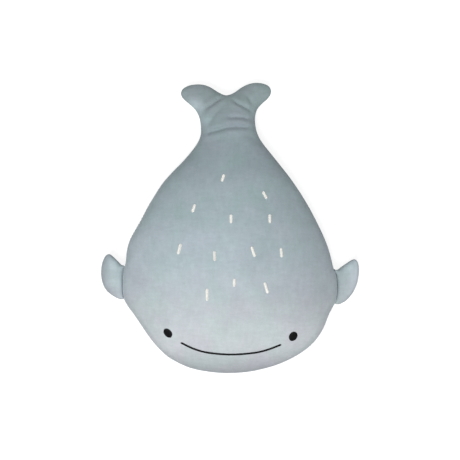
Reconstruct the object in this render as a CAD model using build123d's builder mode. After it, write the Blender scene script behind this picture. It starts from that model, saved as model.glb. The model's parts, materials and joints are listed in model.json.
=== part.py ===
"""A stuffed whale cushion in plush cloth.

Its cover is a front and a back panel sewn round the edge, right sides together, and turned, so that the
seam allowance lies flat inside. Two fins are sewn into the side seam on flat cloth tabs, and the forked
tail bends at a crease across the neck. Eyes, smile and back dashes are raised satin embroidery.

Each stuffed form is a loft of ellipses, whose height follows from their width. A form can be made with its
plan or its height let out or taken in, so that the cloth, the seam allowance, the filling, the seam thread
and the embroidery all follow one shape. Y = 0 is the body's widest station while the pieces are made, with
the head towards -Y. At the end they all move along Y, which puts the origin under the middle of the toy.
"""

from build123d import *
import os

# ---- Body, mm ----
body_width = 327.0  # seam to seam at the widest station
body_fullness = 58.0  # from the edge seam up to the top of the back
seam_height = 50.0  # edge seam above the surface that the belly rests on
head_length = 140.0  # head rim to the widest station
flank_length = 247.0  # widest station to the tail hinge
flank_shoulder = 120.0  # how far the flank holds the full width
flank_run_in = 47.0  # how far before the hinge it has the neck's width

# ---- Neck and tail ----
neck_width = 85.0
neck_fullness = 24.0  # half the neck's thickness
neck_knuckle = 27.0  # radius of the tail's rounded inner end, about the hinge
stem_length = 45.0  # hinge to the bottom of the fork
fluke_root_across = 8.0  # where a fluke's centre line starts, from the middle
fluke_root_along = 21.0  # and from the hinge
fluke_angle = 29.5  # degrees from straight across
fluke_length = 68.0
fluke_root_width = 52.0
fluke_tip_width = 40.0
tail_droop = 12.0  # degrees that the tail hangs below level at rest

# ---- Fins ----
fin_reach = 35.0  # hinge to the outer edge
fin_root_width = 52.0
fin_fullness = 12.5  # half the thickness at the fattest place
fin_root_fullness = 2.5  # half the thickness where it is stitched flat
fin_knuckle = 2.6  # radius of the rounded root, about the hinge
fin_flat = 5.0  # how much of the root is stitched flat past the hinge
fin_sweep = 18.0  # how far the outer end leans towards the tail
fin_station = -2.0  # middle of the root, from the widest station
fin_droop = 10.0

# ---- Cloth, thread and filling ----
cloth = 1.2
seam_allowance = 6.0
fin_seam_allowance = 4.0
stitch_inset = 1.5  # seam stitches, in from the inside of the cloth
thread = 0.6
soft_gap = 0.3  # between the filling, or the backing, and what it lies against
snug_gap = 0.15  # between embroidery, thread or a tab and its cloth
hinge_gap = 0.3
tab = 1.2  # a fin's two cloths pressed flat where they go through the side seam
tab_reach = 0.6  # how far they show outside it

# ---- Embroidery: the face is placed from the head's rim, and the dashes from the widest station ----
satin = 0.9  # height of the stitches
eye_long = 15.4
eye_short = 12.6
eye_spacing = 191.0
eye_setback = 62.5  # from the head's rim
eye_tilt = 35.0  # degrees that each eye's long axis leans outward at the top
smile_width = 151.0
smile_setback = 48.0  # from the head's rim to its ends
smile_drop = 17.0
smile_thickness = 2.4
dash_width = 3.9
# Each dash: across, along, length, degrees that its top leans to the right.
dashes = (
    (-11, 161, 11.5, 17),
    (53, 135, 12.5, -28),
    (-55, 115, 13, 18),
    (1, 98.5, 13.5, 0),
    (60, 99, 13.5, -2),
    (-77, 54, 16.5, 15),
    (-23, 43, 15, -3),
    (35, 49.5, 16.5, -20),
    (77, 47.5, 14, -6),
    (7, 4, 12.5, 0),
    (55, -6, 17.5, -17),
    (-35, -14, 18.5, 0),
)
backing = 0.4  # non-woven behind the face's embroidery
backing_width = 216.0
backing_depth = 66.0
backing_setback = 52.0  # from the head's rim

# ---- Closing stitches over the gap that the cover was turned through ----
closing_start = 70.0  # first stitch, from the widest station
closing_pitch = 6.0
closing_count = 11
closing_rise = 3.0  # how much of the side a stitch crosses

# ---- How many rings each edge is lofted through ----
rim_rings = 7
flank_rings = 7
stem_side_rings = 4
stem_end_rings = 7
fluke_side_rings = 5
fluke_tip_rings = 3

# ---- Helpers ----
reach = 1000.0  # clears the whole toy
run_in = 2.0  # how many knuckle radii before its hinge a loft starts


# ---- Stuffed forms ----


def pillow(half_width):
    """Half the thickness of a stuffed form of this half width, as the body's and the neck's are."""
    wide, narrow = body_width / 2, neck_width / 2
    softness = (body_fullness - neck_fullness) / (neck_fullness / narrow - body_fullness / wide)
    return body_fullness * (1 + softness / wide) * half_width / (half_width + softness)


def spaced(edge, steps):
    """Points at even steps along an edge, without its last."""
    return [edge @ (step / steps) for step in range(steps)]


def flank_edge(grow):
    """The body's right-hand side seam on the plan, from the widest station to the tail hinge."""
    wide, narrow = body_width / 2 + grow, neck_width / 2 + grow
    shoulder, waist = (wide, flank_shoulder), (narrow, flank_length - flank_run_in)
    with BuildLine():
        flank = Bezier((wide, 0), shoulder, waist, (narrow, flank_length))
    return flank


def body_edge(grow):
    """The body's right-hand edge on the plan, from the head's rim to the tail hinge."""
    wide, high = body_width / 2 + grow, head_length + grow
    with BuildLine():
        rim = EllipticalCenterArc((0, 0), wide, high, start_angle=270, arc_size=90)
    flank = flank_edge(grow)
    return spaced(rim, rim_rings) + spaced(flank, flank_rings) + [flank @ 1]


def body_outline(grow):
    """The body's whole plan, straight across at the tail hinge."""
    wide, high = body_width / 2 + grow, head_length + grow
    right = flank_edge(grow)
    left = right.mirror(Plane.YZ)
    with BuildSketch() as outline:
        with BuildLine():
            EllipticalCenterArc((0, 0), wide, high, start_angle=180, arc_size=180)
            add(right)
            add(left)
            Line(right @ 1, left @ 1)
        make_face()
    return outline.sketch


def stem_edge(grow):
    """The tail stem's right-hand edge, from the hinge's knuckle to the bottom of the fork."""
    half = neck_width / 2 + grow
    with BuildLine():
        side = Line((half, -run_in * neck_knuckle), (half, 0))
        rounding = EllipticalCenterArc((0, 0), half, stem_length + grow, arc_size=90)
    return spaced(side, stem_side_rings) + spaced(rounding, stem_end_rings) + [rounding @ 1]


def fluke_edge(grow):
    """One edge of a fluke, about its own centre line, from its root to its round tip."""
    root, tip = fluke_root_width / 2 + grow, fluke_tip_width / 2 + grow
    straight = fluke_length - fluke_tip_width / 2
    with BuildLine():
        side = Line((root, 0), (tip, straight))
        rounding = CenterArc((0, straight), tip, 0, 90)
    return spaced(side, fluke_side_rings) + spaced(rounding, fluke_tip_rings) + [rounding @ 1]


def loft_rings(rings, point):
    """A loft through ellipses, each an upright plane and its two radii, with a point at its closed end."""
    # Each plane's X is up, so that every ring closes at its top, well away from the side seam.
    faces = []
    for plane, across, high in rings:
        with BuildSketch(plane) as ring:
            Ellipse(high, across)
        faces.append(ring.sketch.face())
    with BuildPart() as form:
        loft([*faces, Vertex(*point)])
    return form.part


def loft_edge(edge, start, along, plan_grow, height_grow):
    """A loft whose rings follow an edge on the plan: X is their half width, and Y the way along."""
    stations = list(zip(edge(0), edge(plan_grow)))
    if stations[0][0].X < stations[-1][0].X:
        stations.reverse()
    rings = [
        (
            Plane(start + along * grown.Y, upwards, along),
            grown.X,
            pillow(base.X) + height_grow,
        )
        for base, grown in stations[:-1]
    ]
    return loft_rings(rings, start + along * stations[-1][1].Y)


def rounded_about(hinge, radius, turn):
    """Keeps what lies past a hinge, and a knuckle about it."""
    with BuildPart() as keep:
        with Locations(hinge):
            Cylinder(radius, reach, rotation=turn)
            Box(reach, reach, reach, align=hinge_sides[turn])
    return keep.part


neck_turn, fin_turn = (0, 90, 0), (90, 0, 0)
hinge_sides = {
    neck_turn: (Align.CENTER, Align.MIN, Align.CENTER),
    fin_turn: (Align.MIN, Align.CENTER, Align.CENTER),
}
neck_hinge = Vector(0, flank_length, seam_height)
fin_hinge = Vector(body_width / 2 + tab_reach + hinge_gap + fin_knuckle, fin_station, seam_height)
tailwards, upwards = Vector(0, 1, 0), Vector(0, 0, 1)


def body_form(plan_grow=0.0, height_grow=0.0):
    """The stuffed body, flat where the belly rests, with a socket for the tail's knuckle."""
    form = loft_edge(body_edge, Vector(0, 0, seam_height), tailwards, plan_grow, height_grow)
    with BuildPart() as body:
        add(form)
        split(bisect_by=Plane.XY.offset(-height_grow), keep=Keep.TOP)
        with Locations(neck_hinge):
            Cylinder(neck_knuckle + hinge_gap, reach, rotation=neck_turn, mode=Mode.SUBTRACT)
    return body.part


def tail_form(plan_grow=0.0, height_grow=0.0):
    """The tail's stem and both flukes, level, with the inner end rounded about the hinge."""
    stem = loft_edge(stem_edge, neck_hinge, tailwards, plan_grow, height_grow)
    start = neck_hinge + Vector(fluke_root_across, fluke_root_along)
    along = Vector(1, 0, 0).rotate(Axis.Z, fluke_angle)
    fluke = loft_edge(fluke_edge, start, along, plan_grow, height_grow)
    with BuildPart() as tail:
        add(stem)
        add(rounded_about(neck_hinge, neck_knuckle, neck_turn), mode=Mode.INTERSECT)
        add(fluke)
        add(fluke.mirror(Plane.YZ))
    return tail.part


def fin_form(plan_grow=0.0, height_grow=0.0):
    """The right-hand fin, level: stitched flat at its root, and leaning back towards the tail."""
    # Each ring: share of the reach, of the sweep, of the root's width and of the fullness.
    shape = (
        (0.23, 0.34, 1.07, 0.62),
        (0.47, 0.68, 1.13, 0.92),
        (0.70, 0.93, 1.06, 1.00),
        (0.86, 1.00, 0.84, 0.84),
        (0.95, 0.98, 0.50, 0.55),
    )
    outermost_lean = 0.96
    half = fin_root_width / 2
    rows = [(-run_in * fin_knuckle, 0, half, fin_root_fullness), (0, 0, half, fin_root_fullness)]
    rows += [(fin_reach * a, fin_sweep * b, half * c, fin_fullness * d) for a, b, c, d in shape]
    stretch = 1 + plan_grow / fin_reach
    rings = [
        (
            Plane(fin_hinge + Vector(out * stretch, lean), upwards, (1, 0, 0)),
            across + plan_grow,
            high + height_grow,
        )
        for out, lean, across, high in rows
    ]
    outer_edge = fin_hinge + Vector(fin_reach + plan_grow, fin_sweep * outermost_lean)
    with BuildPart() as fin:
        add(loft_rings(rings, outer_edge))
        if plan_grow < 0:
            split(bisect_by=Plane.YZ.offset(fin_hinge.X + fin_flat), keep=Keep.TOP)
        else:
            add(rounded_about(fin_hinge, fin_knuckle, fin_turn), mode=Mode.INTERSECT)
    return fin.part


# ---- Cloth, filling and thread of any form ----


def slab(low, high):
    """Everything between two heights above the seam."""
    with BuildPart() as layer:
        with Locations((0, 0, seam_height + low)):
            Box(reach, reach, high - low, align=(Align.CENTER, Align.CENTER, Align.MIN))
    return layer.part


def hollow(form, allowance, gap=0.0, clear=0.0):
    """The room inside a cover, all round its seam allowance, less a gap."""
    inside = cloth + gap
    with BuildPart() as seam:
        add(slab(-inside - clear, inside + clear))
        add(form(-allowance - gap), mode=Mode.SUBTRACT)
    with BuildPart() as room:
        add(form(-inside, -inside))
        add(seam.part, mode=Mode.SUBTRACT)
    return room.part


def sewn_cover(form, allowance):
    """The front and the back panel of a form's cover."""
    room = hollow(form, allowance)
    with BuildPart() as cover:
        add(form())
        add(room, mode=Mode.SUBTRACT)
    panels = []
    for side in (Keep.TOP, Keep.BOTTOM):
        with BuildPart() as panel:
            add(cover.part)
            split(bisect_by=Plane.XY.offset(seam_height), keep=side)
        panels.append(panel.part)
    return panels


def filling_of(form, allowance):
    """Fibre filling, clear of the cloth and of the seam's thread."""
    return hollow(form, allowance, soft_gap, snug_gap + thread)


thread_inset = cloth + stitch_inset
thread_low = cloth + snug_gap


def seam_thread_of(form):
    """The needle's and the bobbin's thread, along either side of the seam allowance."""
    needle, bobbin = slab(thread_low, thread_low + thread), slab(-thread_low - thread, -thread_low)
    with BuildPart() as lines:
        add(form(-thread_inset, -thread_low))
        add(form(-thread_inset - thread, 0), mode=Mode.SUBTRACT)
        add(needle + bobbin, mode=Mode.INTERSECT)
    return lines.part


def both_sides(piece):
    """A right-hand piece and its left-hand mirror image, by side."""
    return {"right": piece, "left": piece.mirror(Plane.YZ)}


# ---- Embroidery ----


def over(outline):
    """A column over an outline on the plan, from the seam's height up."""
    return extrude(Pos(0, 0, seam_height) * outline, amount=reach, dir=(0, 0, 1))


def layer_over(outline, low, high):
    """What lies over an outline on the plan, between one form of the body and a fuller one."""
    with BuildPart() as layer:
        add(over(outline))
        add(high, mode=Mode.INTERSECT)
        add(low, mode=Mode.SUBTRACT)
    return layer.part


def body_let_out(grow):
    """The stuffed body, larger by the same amount on its plan and in height."""
    return body_form(grow, grow)


satin_low, satin_high = body_let_out(snug_gap), body_let_out(snug_gap + satin)

with BuildSketch() as eye_outline:
    with Locations(Location((eye_spacing / 2, eye_setback - head_length), 90 - eye_tilt)):
        Ellipse(eye_long / 2, eye_short / 2)

smile_station = smile_setback - head_length
with BuildSketch() as smile_outline:
    with BuildLine():
        ThreePointArc(
            (-smile_width / 2, smile_station),
            (0, smile_station - smile_drop),
            (smile_width / 2, smile_station),
        )
    trace(line_width=smile_thickness)

dash_outlines = []
for across, along, length, lean in dashes:
    with BuildSketch() as dash_outline:
        with Locations(Location((across, along), 90 - lean)):
            SlotOverall(length, dash_width)
    dash_outlines.append(dash_outline.sketch)


def backing_outline(grow):
    """The oval of non-woven behind the face."""
    with BuildSketch() as outline:
        with Locations((0, backing_setback - head_length)):
            Ellipse(backing_width / 2 + grow, backing_depth / 2 + grow)
    return outline.sketch


# ---- Torso ----

tab_seat = Vector(fin_hinge.X - fin_knuckle - hinge_gap, fin_station, seam_height)
tab_depth = seam_allowance + tab_reach

with BuildPart() as right_fin_tab:
    with Locations(tab_seat):
        Box(tab_depth, fin_root_width, tab, align=(Align.MAX, Align.CENTER, Align.CENTER))

with BuildPart() as right_tab_slot:
    with Locations(tab_seat):
        Box(
            tab_depth + snug_gap,
            fin_root_width + 2 * snug_gap,
            tab + 2 * snug_gap,
            align=(Align.MAX, Align.CENTER, Align.CENTER),
        )
tab_slots = list(both_sides(right_tab_slot.part).values())

front_cloth, back_cloth = sewn_cover(body_form, seam_allowance)

with BuildPart() as front_panel:
    add(front_cloth)
    add(tab_slots, mode=Mode.SUBTRACT)

with BuildPart() as back_panel:
    add(back_cloth)
    add(tab_slots, mode=Mode.SUBTRACT)

backing_top = cloth + soft_gap
backing_low, backing_high = body_let_out(-backing_top - backing), body_let_out(-backing_top)

with BuildPart() as face_backing:
    add(layer_over(backing_outline(0), backing_low, backing_high))

with BuildPart() as backing_pocket:
    add(over(backing_outline(soft_gap)))
    add(body_let_out(-backing_top - backing - soft_gap), mode=Mode.SUBTRACT)

with BuildPart() as body_filling:
    add(filling_of(body_form, seam_allowance))
    add(backing_pocket.part, mode=Mode.SUBTRACT)

with BuildPart() as body_seam_thread:
    for level in (thread_low, -thread_low - thread):
        with BuildSketch(Plane.XY.offset(seam_height + level)):
            add(body_outline(-thread_inset))
            add(body_outline(-thread_inset - thread), mode=Mode.SUBTRACT)
        extrude(amount=thread)
    with Locations(neck_hinge):
        Cylinder(neck_knuckle + hinge_gap, reach, rotation=neck_turn, mode=Mode.SUBTRACT)

closing_seam = flank_edge(snug_gap + thread / 2)
closing_places = [
    closing_seam @ ((closing_start + closing_pitch * count) / closing_seam.length)
    for count in range(closing_count)
]
with BuildPart() as closing_stitches:
    with Locations([(-place.X, place.Y, seam_height) for place in closing_places]):
        Cylinder(thread / 2, closing_rise)

torso = {
    "front_panel": front_panel.part,
    "back_panel": back_panel.part,
    "body_filling": body_filling.part,
    "body_seam_thread": body_seam_thread.part,
    "face_backing": face_backing.part,
    "closing_stitches": closing_stitches.part,
}
for side, piece in both_sides(right_fin_tab.part).items():
    torso[f"{side}_fin_tab"] = piece

for side, outline in both_sides(eye_outline.sketch).items():
    with BuildPart() as eye:
        add(layer_over(outline, satin_low, satin_high))
    torso[f"{side}_eye"] = eye.part

with BuildPart() as smile:
    add(layer_over(smile_outline.sketch, satin_low, satin_high))
torso["smile"] = smile.part

for number, outline in enumerate(dash_outlines, 1):
    with BuildPart() as dash:
        add(layer_over(outline, satin_low, satin_high))
    torso[f"dash_{number}"] = dash.part

# ---- Tail ----

tail_cloth = sewn_cover(tail_form, seam_allowance)

with BuildPart() as tail_front_panel:
    add(tail_cloth[0])

with BuildPart() as tail_back_panel:
    add(tail_cloth[1])

with BuildPart() as tail_filling:
    add(filling_of(tail_form, seam_allowance))

with BuildPart() as tail_seam_thread:
    add(seam_thread_of(tail_form))

tail = {
    "tail_front_panel": tail_front_panel.part,
    "tail_back_panel": tail_back_panel.part,
    "tail_filling": tail_filling.part,
    "tail_seam_thread": tail_seam_thread.part,
}
neck_axis = Axis(neck_hinge, (1, 0, 0))
tail = {label: piece.rotate(neck_axis, -tail_droop) for label, piece in tail.items()}

# ---- Fins ----

fin_cloth = sewn_cover(fin_form, fin_seam_allowance)

with BuildPart() as fin_front_panel:
    add(fin_cloth[0])

with BuildPart() as fin_back_panel:
    add(fin_cloth[1])

with BuildPart() as fin_filling:
    add(filling_of(fin_form, fin_seam_allowance))

with BuildPart() as fin_seam_thread:
    add(seam_thread_of(fin_form))

right_fin = {
    "fin_front_panel": fin_front_panel.part,
    "fin_back_panel": fin_back_panel.part,
    "fin_filling": fin_filling.part,
    "fin_seam_thread": fin_seam_thread.part,
}
fin_axis = Axis(fin_hinge, (0, 1, 0))
fins = {}
for label, piece in right_fin.items():
    for side, hand in both_sides(piece.rotate(fin_axis, fin_droop)).items():
        fins[f"{side}_{label}"] = hand

# ---- The toy, centred along Y ----

tail_end = max(piece.bounding_box().max.Y for piece in tail.values())
centre = Pos(0, (head_length - tail_end) / 2, 0)

os.makedirs("parts", exist_ok=True)
for label, piece in (torso | tail | fins).items():
    placed = centre * piece
    placed.label = label
    export_step(placed, f"parts/{label}.step")
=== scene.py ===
"""Looks of the stuffed whale cushion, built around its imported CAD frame.

Every sewn piece starts as a flat outline. A soap-film height over the outline makes the stuffed
form, then folds, puckers and lumps are pressed into it. Distances are millimetres in the CAD
frame, apart from those in materials, lamps and the camera, which are metres.
"""

import json
import math

import bpy
import numpy as np
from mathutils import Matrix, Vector, noise
from mathutils.bvhtree import BVHTree
from mathutils.geometry import delaunay_2d_cdt


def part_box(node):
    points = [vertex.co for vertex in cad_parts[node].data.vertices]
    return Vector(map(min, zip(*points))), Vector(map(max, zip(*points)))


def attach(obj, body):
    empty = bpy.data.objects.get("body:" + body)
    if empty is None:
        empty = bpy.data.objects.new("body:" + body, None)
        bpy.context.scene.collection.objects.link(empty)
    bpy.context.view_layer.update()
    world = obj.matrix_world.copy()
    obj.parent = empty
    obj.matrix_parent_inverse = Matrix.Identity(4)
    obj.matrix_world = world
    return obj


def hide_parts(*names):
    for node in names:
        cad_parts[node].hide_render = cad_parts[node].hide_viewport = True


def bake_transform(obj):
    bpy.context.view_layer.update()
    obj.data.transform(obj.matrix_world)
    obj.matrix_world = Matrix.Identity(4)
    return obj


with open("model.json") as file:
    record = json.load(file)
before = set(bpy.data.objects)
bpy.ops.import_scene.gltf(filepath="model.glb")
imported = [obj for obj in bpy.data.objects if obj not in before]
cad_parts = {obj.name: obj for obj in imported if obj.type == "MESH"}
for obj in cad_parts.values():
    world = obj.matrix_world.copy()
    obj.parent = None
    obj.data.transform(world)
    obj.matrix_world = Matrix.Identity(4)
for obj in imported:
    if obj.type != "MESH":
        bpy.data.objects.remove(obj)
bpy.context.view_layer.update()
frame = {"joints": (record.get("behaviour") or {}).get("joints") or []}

MM = 0.001
# Which way along X leads out of the body on each side.
OUTWARD = {"left": -1, "right": 1}
JOINTS = {joint["name"]: joint for joint in frame["joints"]}
NECK = np.array(JOINTS["tail_bend"]["pos_m"]) / MM
FIN_HINGES = {side: np.array(JOINTS[f"{side}_fin_flap"]["pos_m"]) / MM for side in OUTWARD}
SEAM_Z = NECK[2]
# Height of the stuffed cloth over the seam: at its fullest, just under the panel's top, and at
# the neck.
UNDER_THE_TOP = 0.6
BODY_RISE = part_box("front_panel")[1].z / MM - SEAM_Z - UNDER_THE_TOP
NECK_RISE = 24.0
CLOTH = 1.2
FIN_CLOTH = CLOTH * 0.8
# The tail hangs by this angle, and turns into it over this distance each side of the neck's hinge.
TAIL_DROOP = math.radians(12.0)
TAIL_DROOP_REACH = 26

# Outline of the two big panels as seen from above, anticlockwise from the middle of the head's rim.
BODY_OUTLINE = [
    (0, -225.2), (31, -222.8), (62, -215.8), (81, -209), (100, -200), (118.2, -188), (130.2, -177),
    (139.4, -165), (146.5, -152), (151.6, -138.5), (156, -129), (159.8, -121.8), (162.9, -116.8),
    (165, -109), (166.3, -98), (166.4, -88), (165.4, -76.5), (163.6, -69.4), (160.6, -63.6),
    (158.2, -54), (154.8, -40.5), (150.2, -26), (143.6, -10), (135.4, 7), (126.5, 24.5),
    (116.8, 41.5), (106.2, 58.5), (93, 77.5), (79, 95.5), (65.4, 112.5), (53.8, 127), (45.8, 138.5),
    (41.1, 149.5), (39, 161), (39, 173), (42.2, 184.8), (49.8, 193.8), (58.8, 201.9), (64, 211.2),
    (61.6, 220.2), (52.4, 225.4), (39.8, 226.8), (28, 224.4), (17, 218.6), (5.2, 210.2),
    (-6.4, 206.4), (-17.6, 211), (-29.5, 218.8), (-40, 223.2), (-52, 224.3), (-64.6, 222.3),
    (-74, 217), (-77, 209.8), (-74, 202.6), (-65.6, 194.8), (-56.4, 186.6), (-50.3, 177.6),
    (-46.8, 167), (-45.4, 155), (-46, 143), (-50.8, 131.4), (-60.6, 117.8), (-74, 102.2),
    (-89.2, 86.8), (-105, 68.8), (-118, 48.8), (-128.7, 30.5), (-138.8, 11), (-149.2, -7),
    (-156.8, -22), (-160.6, -38), (-161.6, -50), (-163, -58), (-165.4, -64.4), (-166.5, -74),
    (-166.8, -86), (-166.5, -98), (-165.4, -107.6), (-162.4, -115.4), (-157, -123.8), (-148, -136),
    (-136.2, -153.4), (-124.4, -170.6), (-110.5, -187), (-92.6, -202.4), (-63.5, -216.6),
    (-31, -223.4),
]
# Folds in the top cloth: points along the fold, depth and half width.
FOLDS = [
    (
        [(-47, 143), (-37, 145.6), (-24, 148.6), (-8, 152.6), (8, 154.4), (24, 154), (39, 155)],
        3.6,
        2.9,
    ),
    ([(-10, 205), (-17, 197.5), (-27, 190), (-40, 181.5)], 2.8, 2.8),
    ([(3, 197), (12, 190), (24, 184), (37, 178)], 2.6, 2.6),
    ([(-6, 167.2), (8, 168.2), (22, 167.4), (33, 164)], 2.0, 2.4),
    ([(34, 180), (33, 168), (35, 157)], 1.5, 2.2),
    ([(-40, 181), (-45, 172), (-46, 160)], 1.4, 2.8),
    ([(-14, 182), (-24, 172), (-34, 157)], 1.5, 3.4),
    ([(25, 206), (32, 196), (38, 184)], 1.4, 3.0),
    ([(-46, 134), (-32, 131), (-14, 136)], 0.8, 5.0),
    ([(18, 145), (34, 139), (48, 128)], 0.9, 5.0),
    ([(-60, 110), (-30, 122), (10, 124)], 0.5, 7.0),
]
# Outer edge of each fin, from its foot on the head's side to its foot on the tail's side.
FIN_EDGES = {
    "left": [
        (-168.5, -110.9), (-174.5, -109.3), (-182, -105.4), (-190.2, -99.6), (-197, -91.3),
        (-201, -81.3), (-202.4, -71.5), (-202, -61.5), (-199.2, -51.3), (-194.2, -43.2),
        (-188.2, -40.9), (-181.6, -45.2), (-174.6, -51.8), (-168.6, -57.6),
    ],
    "right": [
        (168, -118.6), (173, -117), (179.4, -113.4), (186, -107), (191.4, -99.4), (196.6, -87.6),
        (199.2, -75), (199.8, -63), (198, -53), (193.6, -48.7), (187.4, -51), (179, -56.6),
        (171.6, -61.6), (167.4, -64.6),
    ],
}
# Each fin hangs by one angle from its root, and curls by another towards its tip, up where that is
# under 0.
FIN_DROOP = {"left": math.radians(5), "right": math.radians(10)}
FIN_CURL = {"left": math.radians(15), "right": math.radians(-10)}
FIN_REACH = 35.0
# Where the droop starts, inside the fin's hinge, and the length that it takes.
FIN_DROOP_START = 3
FIN_DROOP_LENGTH = 7
# Each eye: middle, long and short side, degrees that its top leans to the left.
EYES = {
    "left": ((-94.9, -160.5), 15.8, 12.0, 42),
    "right": ((96.2, -165.4), 15.0, 13.2, -28),
}
SMILE = [
    (-75.2, -175.1), (-55, -184.4), (-33.4, -190.2), (0, -193), (33.4, -190.9), (55, -186.4),
    (78.2, -178),
]
SMILE_WIDTH = 3.0
DASH_WIDTH = 4.5
# Each dash: middle, length, degrees that its top leans to the right.
DASHES = [
    ((-11, 75.5), 11.5, 17),
    ((52.7, 49.8), 12.5, -28),
    ((-55.3, 29.5), 13, 18),
    ((1.3, 13.3), 13.5, 0),
    ((60, 13.7), 13.5, -2),
    ((-76.7, -32.2), 16.5, 15),
    ((-23.4, -42.3), 15, -3),
    ((34.7, -35.8), 16.5, -20),
    ((77.4, -37.6), 14, -6),
    ((6.2, -82.3), 12.5, 0),
    ((54.3, -90.3), 17.5, -17),
    ((-34.8, -100.5), 18.5, 0),
]


# ---- Outlines ----


def spline_run(a, b, c, d, step):
    """Points of a Catmull-Rom curve from b up to c, where a comes before b and d after c."""
    return [
        0.5
        * (
            2 * b
            + (c - a) * t
            + (2 * a - 5 * b + 4 * c - d) * t**2
            + (3 * b - a - 3 * c + d) * t**3
        )
        for t in np.arange(0, 1, step)
    ]


def closed_spline(points, spacing, smooth):
    """A closed curve through points, sampled at about that spacing, then evened out a little."""
    p = np.array(points, float)
    n = len(p)
    samples = []
    for i in range(n):
        samples += spline_run(p[(i - 1) % n], p[i], p[(i + 1) % n], p[(i + 2) % n], 0.05)
    curve = resample(np.array(samples), spacing / 2)
    width = max(1, int(smooth / (spacing / 2)))
    tail = 3 * width
    kernel = np.exp(-0.5 * (np.arange(-tail, tail + 1) / width) ** 2)
    kernel /= kernel.sum()
    padded = np.vstack([curve[-tail:], curve, curve[:tail]])
    eased = np.column_stack([np.convolve(padded[:, k], kernel, "valid") for k in (0, 1)])
    return resample(eased, spacing)


def resample(curve, spacing):
    """A closed curve at even steps."""
    ring = np.vstack([curve, curve[:1]])
    steps = np.linalg.norm(np.diff(ring, axis=0), axis=1)
    along = np.concatenate([[0], np.cumsum(steps)])
    count = int(round(along[-1] / spacing))
    wanted = np.linspace(0, along[-1], count, endpoint=False)
    return np.column_stack([np.interp(wanted, along, ring[:, k]) for k in (0, 1)])


def inward(curve, evening=0.0):
    """Unit normals of a closed anticlockwise curve, pointing in.

    They are evened out round its corners, over the length that evening gives.
    """
    tangent = np.roll(curve, -1, 0) - np.roll(curve, 1, 0)
    normal = np.column_stack([-tangent[:, 1], tangent[:, 0]])
    normal /= np.linalg.norm(normal, axis=1)[:, None]
    step = np.linalg.norm(curve[1] - curve[0])
    total = normal.copy()
    for k in range(1, int(2.5 * evening / step) + 1):
        weight = math.exp(-0.5 * (k * step / evening) ** 2)
        total += weight * (np.roll(normal, k, 0) + np.roll(normal, -k, 0))
    return total / np.linalg.norm(total, axis=1)[:, None]


def edge_distance(points, curve):
    """Distance from each point to a closed curve."""
    ab = np.roll(curve, -1, 0) - curve
    size = (ab**2).sum(1)
    best = np.empty(len(points))
    batch = 2000
    for start in range(0, len(points), batch):
        ap = points[start:start + batch, None, :] - curve[None]
        t = np.clip((ap * ab[None]).sum(2) / size, 0, 1)
        gap = np.linalg.norm(ap - t[..., None] * ab[None], axis=2)
        best[start:start + batch] = gap.min(1)
    return best


def inside(points, curve):
    """Which points lie inside a closed curve."""
    x, y = points[:, 0], points[:, 1]
    result = np.zeros(len(points), bool)
    for (x1, y1), (x2, y2) in zip(curve, np.roll(curve, -1, 0)):
        crosses = (y1 > y) != (y2 > y)
        if crosses.any():
            at = (x2 - x1) * (y - y1) / (y2 - y1 + 1e-12) + x1
            result ^= crosses & (x < at)
    return result


# ---- Stuffed height ----


class Film:
    """A soap film over an outline, which a stuffed cover's height follows."""

    BORDER_CELLS = 3
    # Nearer the outline than this many cells, the film's slope is carried out from further in.
    EDGE_CELLS = 2.2
    CARRY_ROUNDS = 14

    def __init__(self, curve, cell):
        self.curve = curve
        self.cell = cell
        border = self.BORDER_CELLS * cell
        low, high = curve.min(0) - border, curve.max(0) + border
        self.low = low
        nx, ny = np.ceil((high - low) / cell).astype(int) + 1
        across, up = low[0] + cell * np.arange(nx), low[1] + cell * np.arange(ny)
        gx, gy = np.meshgrid(across, up, indexing="ij")
        points = np.column_stack([gx.ravel(), gy.ravel()])
        within = inside(points, curve).reshape(nx, ny)
        gap = edge_distance(points, curve).reshape(nx, ny)
        height = self.settled(within, cell)
        known = within & (gap > self.EDGE_CELLS * cell)
        slope = np.where(known, height / np.maximum(gap, cell), 0)
        self.slope = self.carried_out(slope, known)

    @staticmethod
    def settled(within, cell):
        """The film's height over each cell, blown up by an even pressure."""
        nx, ny = within.shape
        height = np.zeros((nx, ny))
        odd = (np.add.outer(np.arange(nx), np.arange(ny)) % 2).astype(bool)
        step = 2 / (1 + math.pi / max(nx, ny))
        for _ in range(4 * max(nx, ny)):
            for cells in (odd & within, ~odd & within):
                around = np.zeros_like(height)
                around[1:-1, 1:-1] = (
                    height[2:, 1:-1] + height[:-2, 1:-1] + height[1:-1, 2:] + height[1:-1, :-2]
                )
                fresh = (around + cell * cell) / 4
                height[cells] += step * (fresh[cells] - height[cells])
        return height

    @classmethod
    def carried_out(cls, slope, known):
        """The slope, spread from the cells where it is known to those around them."""
        weight = known.astype(float)
        for _ in range(cls.CARRY_ROUNDS):
            total, count = np.zeros_like(slope), np.zeros_like(weight)
            for shift in ((1, 0), (-1, 0), (0, 1), (0, -1)):
                total += np.roll(slope * weight, shift, (0, 1))
                count += np.roll(weight, shift, (0, 1))
            spread = (~known) & (count > 0)
            slope[spread] = (total / np.maximum(count, 1e-9))[spread]
            weight[spread] = 1
        return slope

    def size(self, points, gap):
        """The film's own height under each point, which is gap from the outline."""
        at = (points - self.low) / self.cell
        index = np.clip(np.floor(at).astype(int), 0, np.array(self.slope.shape) - 2)
        i, j = index.T
        f, g = (at - index).T
        s = self.slope
        value = (
            s[i, j] * (1 - f) * (1 - g)
            + s[i + 1, j] * f * (1 - g)
            + s[i, j + 1] * (1 - f) * g
            + s[i + 1, j + 1] * f * g
        )
        return np.sqrt(np.maximum(2 * value * gap, 0))


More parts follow.
